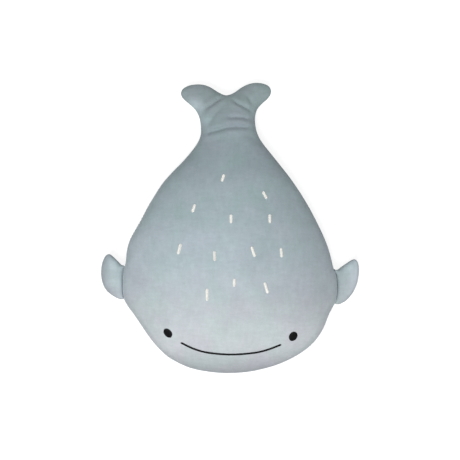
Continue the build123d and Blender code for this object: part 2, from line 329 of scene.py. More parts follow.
def fractal(points, scale, octaves, seed):
    """Smooth noise from about -1 to 1 at each point, with lumps about scale millimetres across."""
    total = np.zeros(len(points))
    for octave in range(octaves):
        step = scale / 2**octave
        total += np.array(
            [noise.noise((x / step, y / step, seed + 7.3 * octave)) for x, y in points]
        ) / 2**octave
    return total


def smoothstep(t):
    t = np.clip(t, 0, 1)
    return t * t * (3 - 2 * t)


# A fold fades out over this share of its length at each end, to the least share of its depth.
FOLD_FADE = 0.22
FOLD_LEAST = 0.25
# The ridge beside a fold: its height as a share of the depth, its place and width in fold widths.
RIDGE_HEIGHT = 0.3
RIDGE_PLACE = 2.4
RIDGE_WIDTH = 1.5


def fold_depth(points, line, depth, width):
    """How far a fold presses each point in, with a soft ridge beside it."""
    p = np.array(line, float)
    best = np.full(len(points), 1e9)
    share = np.zeros(len(points))
    lengths = np.linalg.norm(np.diff(p, axis=0), axis=1)
    along = np.concatenate([[0], np.cumsum(lengths)]) / lengths.sum()
    for k, (a, b) in enumerate(zip(p[:-1], p[1:])):
        ab = b - a
        t = np.clip(((points - a) @ ab) / (ab @ ab), 0, 1)
        gap = np.linalg.norm(points - (a + t[:, None] * ab), axis=1)
        nearer = gap < best
        best[nearer] = gap[nearer]
        share[nearer] = (along[k] + t * (along[k + 1] - along[k]))[nearer]
    ends = smoothstep(share / FOLD_FADE) * smoothstep((1 - share) / FOLD_FADE)
    valley = np.exp(-((best / width) ** 2))
    off_ridge = (best - RIDGE_PLACE * width) / (RIDGE_WIDTH * width)
    ridge = RIDGE_HEIGHT * np.exp(-(off_ridge**2))
    return depth * (valley - ridge) * (FOLD_LEAST + (1 - FOLD_LEAST) * ends)


# ---- Sewn sheets ----

# Rings of cloth turned in at the seam, from the allowance's cut edge out to the seam and back over
# the stuffing: distance in from the outline, and share of the height where the stuffing begins.
EDGE_RINGS = [(4.0, 0.06), (1.7, 0.09), (0.8, 0.16), (0.28, 0.42), (0.04, 0.78), (0.18, 1.0)]
FIN_EDGE_RINGS = [(1.5, 0.06), (0.8, 0.09), (0.45, 0.16), (0.22, 0.42), (0.04, 0.78), (0.15, 1.0)]
# Triangles start this share of their own spacing inside the last ring.
TRIANGLE_GAP = 0.55


def flat_mesh(curve, depths, spacing, evening=0.0):
    """A flat mesh of an outline: rings of quads at those depths, then triangles.

    spacing gives the triangles' size at a place along Y. Returns the points, the faces and each
    point's distance from the outline.
    """
    normal = inward(curve, evening)
    count = len(curve)
    rings = [curve + normal * depth for depth in depths]
    low, high = curve.min(0), curve.max(0)
    grid = []
    row = 0
    y = low[1]
    while y < high[1]:
        step = spacing(y)
        shift = step / 2 if row % 2 else 0.0
        for x in np.arange(low[0] + shift, high[0], step):
            grid.append((x, y))
        y += step * math.sqrt(3) / 2
        row += 1
    grid = np.array(grid)
    grid = grid[inside(grid, curve)]
    clear = depths[-1] + TRIANGLE_GAP * np.array([spacing(y) for y in grid[:, 1]])
    grid = grid[edge_distance(grid, curve) > clear]
    loop = [(i, (i + 1) % count) for i in range(count)]
    verts = [Vector(p) for p in (*rings[-1], *grid)]
    meshed, _, faces, *_ = delaunay_2d_cdt(verts, loop, [list(range(count))], 1, 1e-5)
    points = np.vstack([*rings[:-1], np.array([tuple(v) for v in meshed])])
    inner = (len(rings) - 1) * count
    quads = []
    for r in range(len(rings) - 1):
        a, b = r * count, (r + 1) * count
        quads += [(a + i, a + (i + 1) % count, b + (i + 1) % count, b + i) for i in range(count)]
    tris = [tuple(inner + i for i in face) for face in faces]
    return points, quads + tris, edge_distance(points, curve)


# Lumps of the filling: their size, how far from the seam they begin, and over what distance they
# come up to their full height.
LUMP_SIZE = 52.0
LUMP_START = 1.0
LUMP_EASE = 16.0
# Puckers along the seam: their size and height, and how they come up from the seam and die away.
PUCKER_SIZE = 11.0
PUCKER_HEIGHT = 0.55
PUCKER_EASE = 1.6
PUCKER_REACH = 6.0
# Folds stop short of the seam, and reach their full depth over this distance.
FOLD_START = 0.5
FOLD_EASE = 7.0
LEAST_HEIGHT = 0.03


def sewn_sheet(
    curve, film, rise, side, spacing, depths, seed,
    folds=(), shape=None, lumps=0.7, edge=EDGE_RINGS, evening=0.0,
):
    """One cloth of a stuffed form: turned in at its seam, up over the stuffing and down again.

    rise turns the film's size into height. side is 1 for the upper cloth and -1 for the lower.
    shape changes the height in the end, and lumps is how high the filling's lumps stand.
    """
    turned = [depth for depth, _ in edge]
    points, faces, gaps = flat_mesh(curve, turned + depths, spacing, evening)
    count = len(curve)
    in_rings = len(edge) * count
    height = rise(film.size(points, gaps))
    base = rise(film.size(points[:count], np.full(count, turned[-1])))
    for k, (_, share) in enumerate(edge):
        height[k * count:(k + 1) * count] = share * base
    soft = smoothstep((gaps - LUMP_START) / LUMP_EASE)
    soft[:in_rings] = 0
    height += lumps * soft * fractal(points, LUMP_SIZE, 2, seed)
    pucker = np.exp(-gaps / PUCKER_REACH) * smoothstep(gaps / PUCKER_EASE)
    pucker[:in_rings] = 0
    height += PUCKER_HEIGHT * pucker * fractal(points, PUCKER_SIZE, 1, seed + 3.1)
    for line, depth, width in folds:
        pressed = fold_depth(points, line, depth, width)
        height -= pressed * smoothstep((gaps - FOLD_START) / FOLD_EASE)
    if shape is not None:
        height = shape(height)
    xyz = np.column_stack([points, SEAM_Z + side * np.maximum(height, LEAST_HEIGHT)])
    if side < 0:
        faces = [tuple(reversed(face)) for face in faces]
    return xyz, faces


def add_to_scene(name, data):
    obj = bpy.data.objects.new(name, data)
    bpy.context.scene.collection.objects.link(obj)
    return obj


def make_object(name, xyz, faces, smooth=True):
    """A mesh object from millimetres in the CAD frame."""
    mesh = bpy.data.meshes.new(name)
    mesh.from_pydata([tuple(p) for p in np.asarray(xyz) * MM], [], faces)
    mesh.validate()
    mesh.update()
    mesh.polygons.foreach_set("use_smooth", [smooth] * len(mesh.polygons))
    return add_to_scene(name, mesh)


def thicken(obj, thickness):
    """Gives a cloth its thickness, on its inner side."""
    modifier = obj.modifiers.new("cloth", "SOLIDIFY")
    modifier.thickness = thickness * MM
    modifier.offset = -1
    modifier.use_even_offset = False
    graph = bpy.context.evaluated_depsgraph_get()
    mesh = bpy.data.meshes.new_from_object(obj.evaluated_get(graph))
    obj.modifiers.clear()
    old = obj.data
    obj.data = mesh
    bpy.data.meshes.remove(old)
    mesh.polygons.foreach_set("use_smooth", [True] * len(mesh.polygons))
    return obj


def turned_about(xyz, hinge, axis, angles):
    """Points turned about a hinge, each by its own angle."""
    out = np.array(xyz, float)
    a, b = {"x": (1, 2), "y": (2, 0)}[axis]
    u, v = out[:, a] - hinge[a], out[:, b] - hinge[b]
    c, s = np.cos(angles), np.sin(angles)
    out[:, a] = hinge[a] + u * c - v * s
    out[:, b] = hinge[b] + u * s + v * c
    return out


def droop_tail(xyz):
    """Lets the tail hang about the neck's hinge."""
    share = smoothstep((xyz[:, 1] - NECK[1] + TAIL_DROOP_REACH) / (2 * TAIL_DROOP_REACH))
    return turned_about(xyz, NECK, "x", -TAIL_DROOP * share)


def droop_fin(xyz, side):
    """Lets a fin hang about its root."""
    hinge = FIN_HINGES[side]
    beyond = OUTWARD[side] * (xyz[:, 0] - hinge[0])
    droop = FIN_DROOP[side] * smoothstep((beyond + FIN_DROOP_START) / FIN_DROOP_LENGTH)
    curl = FIN_CURL[side] * np.clip(beyond / FIN_REACH, 0, 1) ** 2
    return turned_about(xyz, hinge, "y", OUTWARD[side] * (droop + curl))


# ---- Materials ----

# The plan of the whole cushion in metres, which the plush's colours and its painted light and shade
# run across and along.
PLAN_X = (-0.205, 0.205)
PLAN_Y = (-0.225, 0.225)
# The plush's colour from the head's rim, 0, to the flukes, 1: lighter towards the head, partly its
# own tone and partly painted light, and darker again at the head's rim, painted shade where the
# cloth turns under.
TONE_AND_PAINTED_LIGHT_ALONG = [
    (0.0, (178, 183, 188)), (0.10, (203, 208, 212)), (0.22, (192, 200, 204)),
    (0.31, (186, 196, 202)), (0.40, (180, 193, 199)), (0.60, (165, 180, 185)),
    (0.74, (153, 168, 173)), (0.86, (153, 167, 172)), (0.96, (157, 171, 174)),
]
# Painted light and shade: how much lighter or darker the plush is painted at places across, and the
# most and least that it is. Darker down the right flank, on the right fin's inner part and at the
# left fin's outer edge, painted shade; darkest in a line at the right fin's root, painted shade in
# its crease; lighter at the right fin's outer edge, painted light.
PAINTED_LIGHT_AND_SHADE_ACROSS = [
    (-0.203, 0.84), (-0.194, 0.89), (-0.184, 1.0), (0.01, 1.0), (0.06, 0.94), (0.112, 0.85),
    (0.142, 0.87), (0.158, 0.93), (0.1655, 0.97), (0.1672, 0.82), (0.178, 0.92), (0.186, 1.03),
    (0.195, 1.15),
]
PAINTED_LIGHT_AND_SHADE_RANGE = (0.75, 1.15)
# How much of that counts at places along: all of it beside the fins, none at the chin and the neck.
PAINTED_LIGHT_AND_SHADE_ALONG = [(-0.15, 0.0), (-0.118, 0.8), (-0.09, 1.0), (-0.02, 0.9), (0.04, 0.3), (0.09, 0.0)]
# Each patch painted lighter or darker: middle on the plan, radius, and how much lighter or darker
# it is. The three on the neck are painted highlights, the three on the fins painted light and
# shade;
# the rest are lighter and darker patches on the body.
LIGHTER_AND_DARKER_PATCHES = [
    ((-0.054, 0.187), 0.022, 1.5), ((-0.040, 0.165), 0.017, 1.3), ((0.036, 0.176), 0.014, 1.12),
    ((0.038, -0.040), 0.045, 0.92), ((0.011, -0.112), 0.028, 0.93), ((-0.137, -0.076), 0.026, 0.92),
    ((-0.078, -0.147), 0.036, 1.07), ((-0.031, -0.143), 0.032, 1.05),
    ((0.054, -0.147), 0.034, 1.05), ((0.143, -0.096), 0.022, 0.93), ((0.11, -0.036), 0.022, 1.04),
    ((-0.181, -0.058), 0.014, 1.18), ((-0.186, -0.100), 0.018, 0.86),
    ((0.181, -0.061), 0.012, 1.18),
]
# Noise seldom leaves this range, so it is stretched to fill the range that is wanted.
NOISE_RANGE = (0.3, 0.7)


def srgb(r, g, b):
    """A colour as it looks on screen, from 0 to 255, in linear light."""

    def linear(v):
        return v / 12.92 if v <= 0.04045 else ((v + 0.055) / 1.055) ** 2.4

    return linear(r / 255), linear(g / 255), linear(b / 255), 1.0


class Tree:
    """The nodes of a material or world, and short ways to add to them."""

    def __init__(self, owner):
        owner.use_nodes = True
        self.nodes = owner.node_tree.nodes
        self.links = owner.node_tree.links

    def fill(self, node, inputs):
        """Sets or links a node's inputs, each by its name or number."""
        for key, value in inputs.items():
            if isinstance(value, bpy.types.NodeSocket):
                self.links.new(value, node.inputs[key])
            else:
                node.inputs[key].default_value = value

    def node(self, kind, inputs=None, **settings):
        node = self.nodes.new(f"ShaderNode{kind}")
        for setting, value in settings.items():
            setattr(node, setting, value)
        self.fill(node, inputs or {})
        return node

    def place(self):
        return self.node("TexCoord").outputs["Object"]

    def stretched(self, vector, scale):
        return self.node("Mapping", {"Vector": vector, "Scale": scale}).outputs["Vector"]

    def noise(self, vector, scale, detail, roughness=0.5):
        inputs = {"Vector": vector, "Scale": scale, "Detail": detail, "Roughness": roughness}
        return self.node("TexNoise", inputs).outputs["Fac"]

    def mapped(self, value, source, target, **settings):
        """A number turned from one range into another."""
        inputs = {
            "Value": value,
            "From Min": source[0], "From Max": source[1],
            "To Min": target[0], "To Max": target[1],
        }
        return self.node("MapRange", inputs, **settings).outputs["Result"]

    def ramp(self, value, stops, interpolation="LINEAR"):
        """A colour that runs through stops, each a position and a colour."""
        node = self.node("ValToRGB", {"Fac": value})
        node.color_ramp.interpolation = interpolation
        elements = node.color_ramp.elements
        while len(elements) < len(stops):
            elements.new(0.5)
        for element, (position, colour) in zip(elements, stops):
            element.position = position
            element.color = colour
        return node.outputs["Color"]

    def graded(self, value, source, stops, target):
        """A number that follows stops, each a place and a value, as an object coordinate runs."""
        start, end = source
        low, high = target
        greys = [
            ((place - start) / (end - start), (*[(share - low) / (high - low)] * 3, 1))
            for place, share in stops
        ]
        return self.mapped(self.ramp(self.mapped(value, source, (0, 1)), greys), (0, 1), target)

    def shade(self, colour, value):
        """Colour made lighter or darker by a factor."""
        inputs = {0: colour, "Scale": value}
        return self.node("VectorMath", inputs, operation="SCALE").outputs["Vector"]

    def bump(self, height, strength, distance, under=None):
        """A normal that follows a height, over another normal if there is one."""
        inputs = {"Height": height, "Strength": strength, "Distance": distance}
        if under is not None:
            inputs["Normal"] = under
        return self.node("Bump", inputs).outputs["Normal"]


def new_material(name):
    """A material, its tree and its shader."""
    material = bpy.data.materials.new(name)
    tree = Tree(material)
    return material, tree, tree.nodes["Principled BSDF"]


def painted_light_and_shade_across(tree, x, y):
    """Painted light and shade across the right flank and the fins."""
    across = tree.graded(x, PLAN_X, PAINTED_LIGHT_AND_SHADE_ACROSS, PAINTED_LIGHT_AND_SHADE_RANGE)
    along = tree.graded(y, PLAN_Y, PAINTED_LIGHT_AND_SHADE_ALONG, (0.0, 1.0))
    return tree.node("Mix", {"Factor": along, "A": 1.0, "B": across}).outputs["Result"]


def lighter_or_darker_patch(tree, plan, middle, radius, gain):
    """A patch painted lighter or darker, fading out round its middle."""
    gap = tree.node("VectorMath", {0: plan, 1: (*middle, 0)}, operation="DISTANCE").outputs["Value"]
    return tree.mapped(gap, (0, radius), (gain, 1.0), interpolation_type="SMOOTHSTEP")


def plush_material():
    """Short velour pile, with painted light and shade in its colour, mottling and a soft sheen."""
    material, tree, shader = new_material("plush")
    place = tree.place()
    x, y, _ = tree.node("SeparateXYZ", {0: place}).outputs

    def varied(scale, detail, roughness, low, high):
        """A factor from a noise, even all round or stretched by three scales."""
        if isinstance(scale, tuple):
            tangle = tree.noise(tree.stretched(place, scale), 1, detail, roughness)
        else:
            tangle = tree.noise(place, scale, detail, roughness)
        return tree.mapped(tangle, NOISE_RANGE, (low, high))

    # Own tone along the body, with painted light towards the head and painted shade at its rim.
    stops = [(position, srgb(*colour)) for position, colour in TONE_AND_PAINTED_LIGHT_ALONG]
    tone_and_light_along = tree.ramp(tree.mapped(y, PLAN_Y, (0, 1)), stops, "EASE")
    greener, rosier = (0.95, 1.0, 0.975, 1), (1.0, 0.975, 1.0, 1)
    tints = tree.ramp(
        tree.noise(tree.stretched(place, (31, 27, 29)), 1, 3), [(0.35, greener), (0.65, rosier)]
    )
    colour = tree.node("VectorMath", {0: tone_and_light_along, 1: tints}, operation="MULTIPLY").outputs["Vector"]
    colour = tree.shade(colour, varied(32, 5, 0.7, 0.945, 1.055))
    colour = tree.shade(colour, varied((190, 60, 90), 3, 0.5, 0.97, 1.03))
    colour = tree.shade(colour, varied((75, 260, 110), 3, 0.5, 0.965, 1.035))
    # Painted light and shade across the flanks and the fins.
    colour = tree.shade(colour, painted_light_and_shade_across(tree, x, y))
    plan = tree.stretched(place, (1, 1, 0))
    # Painted highlights on the neck, painted light and shade on the fins, and lighter and darker
    # patches on the body.
    for middle, radius, gain in LIGHTER_AND_DARKER_PATCHES:
        colour = tree.shade(colour, lighter_or_darker_patch(tree, plan, middle, radius, gain))
    colour = tree.shade(colour, varied(1500, 2, 0.5, 0.9, 1.1))
    crush = tree.noise(tree.stretched(place, (90, 40, 90)), 1, 4, 0.55)
    pile = tree.noise(tree.stretched(place, (1700, 650, 1700)), 1, 2, 0.6)
    tree.fill(shader, {
        "Base Color": colour,
        "Roughness": 0.92,
        "Specular IOR Level": 0.18,
        "Sheen Weight": 0.75,
        "Sheen Roughness": 0.4,
        "Sheen Tint": srgb(214, 222, 228),
        "Normal": tree.bump(pile, 0.45, 0.0005, tree.bump(crush, 0.35, 0.0012)),
    })
    return material


def thread_material(name, colour, roughness, sheen):
    """Twisted embroidery or sewing thread."""
    material, tree, shader = new_material(name)
    place = tree.place()
    strands = tree.mapped(tree.noise(place, 900, 2), NOISE_RANGE, (0.85, 1.15))
    tree.fill(shader, {
        "Base Color": tree.shade(srgb(*colour)[:3], strands),
        "Roughness": roughness,
        "Sheen Weight": sheen,
        "Specular IOR Level": 0.35,
        "Normal": tree.bump(tree.noise(place, 4200, 2), 0.4, 0.0002),
    })
    return material


def fibre_material(name, colour, scale):
    """Matted fibre: loose filling, non-woven backing, or the bare side of pressed cloth."""
    material, tree, shader = new_material(name)
    tangle = tree.noise(tree.place(), scale, 6, 0.7)
    fibres = tree.mapped(tangle, NOISE_RANGE, (0.88, 1.06))
    tree.fill(shader, {
        "Base Color": tree.shade(srgb(*colour)[:3], fibres),
        "Roughness": 0.95,
        "Sheen Weight": 0.3,
        "Normal": tree.bump(tangle, 0.7, 0.002),
    })
    return material


PLUSH = plush_material()
SATINS = {
    "black_satin_thread": thread_material("black_satin_thread", (9, 10, 12), 0.5, 0.0),
    "cream_satin_thread": thread_material("cream_satin_thread", (248, 247, 242), 0.42, 0.1),
}
SEAM_THREAD = thread_material("seam_thread", (140, 155, 160), 0.6, 0.2)
FIBREFILL = fibre_material("fibrefill", (236, 236, 232), 300)
BACKING = fibre_material("backing", (238, 238, 236), 900)
# The fin tabs' cloth: dark partly as the bare back of the cloth and partly as painted shade in the
# groove where the fins go into the side seam.
FIN_TAB_CLOTH_IN_SHADE = fibre_material("fin_tab_cloth_in_shade", (74, 84, 88), 900)


# ---- Body and tail ----

body_curve = closed_spline(BODY_OUTLINE, 3.0, 2.6)
# The tail hangs, so its cloth is longer when it lies flat than it looks from above.
on_tail = body_curve[:, 1] > NECK[1]
flat_curve = body_curve.copy()
flat_curve[on_tail, 1] = NECK[1] + (body_curve[on_tail, 1] - NECK[1]) / math.cos(TAIL_DROOP)
body_film = Film(flat_curve, 2.5)


def crowned(size, rise, softness, fullest):
    """Height of stuffed cloth from the film's size: steep at the seam, and rise at the fullest."""
    return rise * (1 + softness / fullest) * size / (size + softness)


# The film's size at its fullest, down the middle of the body, and just short of the neck's hinge.
# The softness that follows makes the cloth stand NECK_RISE high there.
middle_line = np.column_stack([np.zeros(60), np.linspace(-140, -20, 60)])
before_neck = np.array([[-3, NECK[1] - 14]])
FULLEST = body_film.size(middle_line, edge_distance(middle_line, flat_curve)).max()
AT_NECK = body_film.size(before_neck, edge_distance(before_neck, flat_curve))[0]
SOFTNESS = FULLEST * AT_NECK * (BODY_RISE - NECK_RISE) / (NECK_RISE * FULLEST - BODY_RISE * AT_NECK)


def body_rise(size):
    """Height of the body's cloth over the seam."""
    return crowned(size, BODY_RISE, SOFTNESS, FULLEST)


def flat_belly(height):
    """The side that the cushion lies on, flattened where it meets the surface."""
    ease = 3.0
    return height - ease * np.log1p(np.exp((height - SEAM_Z) / ease))


def body_spacing(y):
    """Size of the body's triangles, finer on the tail, where most folds are."""
    return 2.1 if y > 128 else 3.2


BODY_DEPTHS = [0.5, 1.1, 2.0, 3.3, 5.0, 7.2, 9.8]
front_xyz, front_faces = sewn_sheet(
    flat_curve, body_film, body_rise, 1, body_spacing, BODY_DEPTHS, seed=1.7, folds=FOLDS
)
back_xyz, back_faces = sewn_sheet(
    flat_curve, body_film, body_rise, -1, body_spacing, BODY_DEPTHS, seed=9.2, shape=flat_belly
)
front_xyz, back_xyz = droop_tail(front_xyz), droop_tail(back_xyz)

front_cover = thicken(make_object("front_cover", front_xyz, front_faces), CLOTH)
back_cover = thicken(make_object("back_cover", back_xyz, back_faces), CLOTH)
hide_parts("front_panel", "tail_front_panel")
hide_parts("back_panel", "tail_back_panel")


def bend_at_neck(obj):
    """Bakes a piece's placement into its mesh."""
    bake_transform(obj)


for cover in (front_cover, back_cover):
    cover.data.materials.append(PLUSH)
    bend_at_neck(cover)


# ---- Fins ----

# Half a fin's thickness at its fullest, where the film is FIN_FULLEST high.
FIN_RISE = 12.2
FIN_SOFTNESS = 30.0
FIN_FULLEST = 17.0
FIN_DEPTHS = [0.5, 1.1, 1.9]


def fin_rise(size):
    """Height of a fin's cloth over its seam."""
    return crowned(size, FIN_RISE, FIN_SOFTNESS, FIN_FULLEST)


def seam_at(side, y):
    """Where the body's side seam runs, beside a fin."""
    least_out, reach = 140, 25
    on_side = OUTWARD[side] * body_curve[:, 0] > least_out
    near = body_curve[on_side & (abs(body_curve[:, 1] - y) < reach)]
    near = near[np.argsort(near[:, 1])]
    return np.interp(y, near[:, 1], near[:, 0])


def fin_outline(side):
    """A fin's whole outline, closed along the side seam that it is sewn into."""
    edge = FIN_EDGES[side]
    proud = OUTWARD[side] * 0.25
    root = np.linspace(edge[-1][1] - 1.2, edge[0][1] + 0.8, 14)
    outline = [*edge, *[(seam_at(side, y) + proud, y) for y in root]]
    return outline if side == "right" else outline[::-1]


def bend_at_root(obj):
    """Bakes a piece's placement into its mesh."""
    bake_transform(obj)


fin_parts = {}
for side in OUTWARD:
    curve = closed_spline(fin_outline(side), 1.5, 0.5)
    film = Film(curve, 0.8)
    fin_parts[side] = (curve, film)
    for layer, sign in (("front", 1), ("back", -1)):
        name = f"{side}_fin_{layer}_cover"
        xyz, faces = sewn_sheet(
            curve, film, fin_rise, sign, lambda y: 1.7, FIN_DEPTHS, seed=21.0 + sign + curve[0, 0],
            lumps=0.35, edge=FIN_EDGE_RINGS, evening=2.5,
        )
        cover = thicken(make_object(name, droop_fin(xyz, side), faces), FIN_CLOTH)
        cover.data.materials.append(PLUSH)
        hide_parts(f"{side}_fin_{layer}_panel")
        bend_at_root(cover)


# ---- Stuffing, under the covers ----

ALLOWANCE = EDGE_RINGS[0][0]
# The filling keeps this far from the allowance, and this far under the cloth.
EDGE_CLEARANCE = 1.0
CLEARANCE = 3.2
# It rounds up from its rim to its full height over this distance, and is nowhere thinner than this.
RIM_ROUNDING = 9.0
LEAST_FILLING = 0.2


def stuffing_mesh(curve, film, rise, spacing, shape=None, folds=()):
    """Both sides of the filling, clear of the cloth and of its turned-in edges."""
    inset = curve + inward(curve, 6.0) * (ALLOWANCE + EDGE_CLEARANCE)
    points, faces, _ = flat_mesh(inset, [0, 1.2, 3], spacing, 4.0)
    gaps = edge_distance(points, curve)
    rim = len(inset)
    ease = np.sqrt(np.clip((gaps - ALLOWANCE - EDGE_CLEARANCE) / RIM_ROUNDING, 0, 1))
    ease[:rim] = 0
    top = rise(film.size(points, gaps))
    low = shape(top) if shape else top
    for line, depth, width in folds:
        top = top - np.maximum(fold_depth(points, line, depth, width), 0)
    upper = np.maximum(top - CLEARANCE, LEAST_FILLING) * ease
    lower = np.maximum(low - CLEARANCE, LEAST_FILLING) * ease
    count = len(points)
    over = np.column_stack([points, SEAM_Z + upper])
    xyz = np.vstack([over, np.column_stack([points[rim:], SEAM_Z - lower[rim:]])])
    under = [tuple(i if i < rim else i - rim + count for i in reversed(face)) for face in faces]
    return xyz, faces + under


xyz, faces = stuffing_mesh(flat_curve, body_film, body_rise, lambda y: 5.0, flat_belly, FOLDS)
stuffing = make_object("body_stuffing", droop_tail(xyz), faces)
stuffing.data.materials.append(FIBREFILL)
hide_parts("body_filling", "tail_filling")
bend_at_neck(stuffing)

for side, (curve, film) in fin_parts.items():
    xyz, faces = stuffing_mesh(curve, film, fin_rise, lambda y: 2.4)
    stuffing = make_object(f"{side}_fin_stuffing", droop_fin(xyz, side), faces)
    stuffing.data.materials.append(FIBREFILL)
    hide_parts(f"{side}_fin_filling")
    bend_at_root(stuffing)


# ---- Threads ----


def tube(points, radii, sides=6):
    """A round thread along points, closed at both ends."""
    points = np.asarray(points, float)
    radii = np.broadcast_to(radii, len(points))
    tangent = np.gradient(points, axis=0)
    tangent /= np.linalg.norm(tangent, axis=1)[:, None]
    helper = (0.0, 0.0, 1.0) if abs(tangent[0, 2]) < 0.8 else (1.0, 0.0, 0.0)
    across = np.cross(tangent, helper)
    across /= np.linalg.norm(across, axis=1)[:, None]
    up = np.cross(across, tangent)
    turn = (2 * math.pi * np.arange(sides) / sides)[:, None]
    around = across[:, None] * np.cos(turn) + up[:, None] * np.sin(turn)
    verts = (points[:, None] + radii[:, None, None] * around).reshape(-1, 3)
    faces = []
    for k in range(len(points) - 1):
        for j in range(sides):
            a, b = k * sides + j, k * sides + (j + 1) % sides
            faces.append((a, a + sides, b + sides, b))
    faces.append(tuple(range(sides)))
    faces.append(tuple(reversed(range((len(points) - 1) * sides, len(points) * sides))))
    return verts, faces


def merged(parts):
    """Several meshes as one."""
    verts, faces, start = [], [], 0
    for part_verts, part_faces in parts:
        verts.append(part_verts)
        faces += [tuple(start + i for i in face) for face in part_faces]
        start += len(part_verts)
    return np.vstack(verts), faces


def lockstitches(curve, pitch, length, radius, depth):
    """The seam's stitches, seen in its groove, that deep inside the outline."""
    ring = resample(curve, pitch)
    normal = inward(ring)
    along = np.column_stack([normal[:, 1], -normal[:, 0]])
    steps = np.linspace(-0.5, 0.5, 5)
    tapered = radius * np.array([0.45, 0.9, 1.0, 0.9, 0.45])
    parts = []
    for place, inner, way in zip(ring, normal, along):
        middle = place + inner * depth
        parts.append(tube([(*(middle + way * length * t), SEAM_Z) for t in steps], tapered))
    return merged(parts)


verts, faces = lockstitches(flat_curve, pitch=3.0, length=2.5, radius=0.26, depth=0.75)
stitches = make_object("body_seam_stitches", droop_tail(verts), faces)
stitches.data.materials.append(SEAM_THREAD)
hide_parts("body_seam_thread", "tail_seam_thread")
bend_at_neck(stitches)

for side, (curve, _) in fin_parts.items():
    verts, faces = lockstitches(curve, pitch=2.6, length=2.1, radius=0.2, depth=0.6)
    stitches = make_object(f"{side}_fin_seam_stitches", droop_fin(verts, side), faces)
    stitches.data.materials.append(SEAM_THREAD)
    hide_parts(f"{side}_fin_seam_thread")
    bend_at_root(stitches)


def closing_stitches():
    """Slanted hand stitches over the gap that the cover was turned through."""
    low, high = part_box("closing_stitches")
    count, radius, half_height, lean = 13, 0.3, 2.0, 0.35
    heights = np.array([-2.0, -1.2, -0.4, 0.4, 1.2, 2.0])
    bulge = 0.55 * (heights / half_height) ** 2 - 0.25
    parts = []
    for y in np.linspace(low.y / MM, high.y / MM, count):
        row = body_curve[(body_curve[:, 0] < 0) & (abs(body_curve[:, 1] - y) < 12)]
        x = np.interp(y, row[::-1, 1], row[::-1, 0])
        path = [(x + out, y + lean * z, SEAM_Z + z) for z, out in zip(heights, bulge)]
        parts.append(tube(path, radius))
    return merged(parts)


closing = make_object("closing_ladder_stitches", *closing_stitches())
closing.data.materials.append(SEAM_THREAD)
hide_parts("closing_stitches")
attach(closing, "torso")


def fin_tab(side):
    """The fin's two cloths, pressed flat where they go into the side seam."""
    low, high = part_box(f"{side}_fin_tab")
    out, end_gap, half_thickness = OUTWARD[side], 3, 0.2
    within, proud = 3.4, 1.6
    shares = (0, 0.35, 0.7, 1)
    rows = []
    for y in np.linspace(low.y / MM + end_gap, high.y / MM - end_gap, 25):
        seam = seam_at(side, y)
        rows.append([(seam - out * within * (1 - t) + out * proud * t, y, SEAM_Z) for t in shares])
    n, m = len(rows), len(shares)
    middle = np.array(rows).reshape(-1, 3)
    half = np.array([0, 0, half_thickness])
    verts = np.vstack([middle + half, middle - half])
    faces = []
    for i in range(n - 1):
        for j in range(m - 1):
            a = i * m + j
            quad = (a, a + 1, a + m + 1, a + m)
            faces.append(quad)
            faces.append(tuple(reversed([k + n * m for k in quad])))
    rim = list(range(m)) + [i * m + m - 1 for i in range(1, n)]
    rim += [(n - 1) * m + j for j in range(m - 2, -1, -1)] + [i * m for i in range(n - 2, 0, -1)]
    for a, b in zip(rim, rim[1:] + rim[:1]):
        faces.append((b, a, a + n * m, b + n * m))
    return verts, faces


for side in OUTWARD:
    piece = make_object(f"{side}_fin_root_cloth", *fin_tab(side), smooth=False)
    # Its dark colour is partly painted shade in the seam's groove.
    piece.data.materials.append(FIN_TAB_CLOTH_IN_SHADE)
    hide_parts(f"{side}_fin_tab")
    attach(piece, "torso")


# ---- Embroidery ----

STITCH_PITCH = 0.42
STITCH_RADIUS = 0.24
# Stitches shorter than this stand lower. Each runs just over the cloth, and its ends go into it.
FULL_STITCH = 3.0
STITCH_OVER = 0.05
STITCH_INTO = -0.35

front_tree = BVHTree.FromPolygons([Vector(p) for p in front_xyz], front_faces)


def on_front(x, y):
    """The front cloth's outer face over a point of the plan, and its normal there."""
    spot, normal, _, _ = front_tree.ray_cast(Vector((x, y, 400)), Vector((0, 0, -1)))
    return spot, normal


def satin_stitches(pairs, bulge, seed):
    """Threads laid side by side on the cloth, each from one point of the plan to another."""
    parts = []
    steps = np.linspace(-1, 1, 7)
    for number, (a, b) in enumerate(pairs):
        width = np.linalg.norm(b - a)
        jitter = noise.noise((0.9 * number, seed, 0.5))
        lift = bulge * min(1, width / FULL_STITCH) * (1 + 0.12 * jitter)
        path = []
        for t in steps:
            place = (a + b) / 2 + (b - a) / 2 * t * (1.03 + 0.03 * jitter)
            spot, normal = on_front(*place)
            rise = lift * math.sqrt(max(0, 1 - t * t))
            rise += STITCH_OVER if abs(t) < 1 else STITCH_INTO
            path.append(tuple(spot + normal * rise))
        parts.append(tube(path, STITCH_RADIUS))
    return merged(parts)


def across_pairs(centre, lean, length, half_chord):
    """Stitches across a shape whose long side leans to the right by that many degrees."""
    angle = math.radians(lean)
    along = np.array([math.sin(angle), math.cos(angle)])
    side = np.array([along[1], -along[0]])
    count = int(length / STITCH_PITCH)
    pairs = []
    for k in range(count):
        t = (k + 0.5) / count * 2 - 1
        middle = np.array(centre) + along * t * length / 2
        half = half_chord(t)
        slant = along * STITCH_PITCH / 4
        pairs.append((middle - side * half - slant, middle + side * half + slant))
    return pairs


def oval(width):
    """An ellipse's half chord."""
    return lambda t: width / 2 * math.sqrt(max(0.02, 1 - t * t))


def bar(width, length):
    """Half chord of a straight bar with round ends."""
    round_share = width / length

    def half_chord(t):
        into_end = max(0, (abs(t) - 1 + round_share) / round_share)
        return width / 2 * math.sqrt(max(0.06, 1 - into_end**2))

    return half_chord


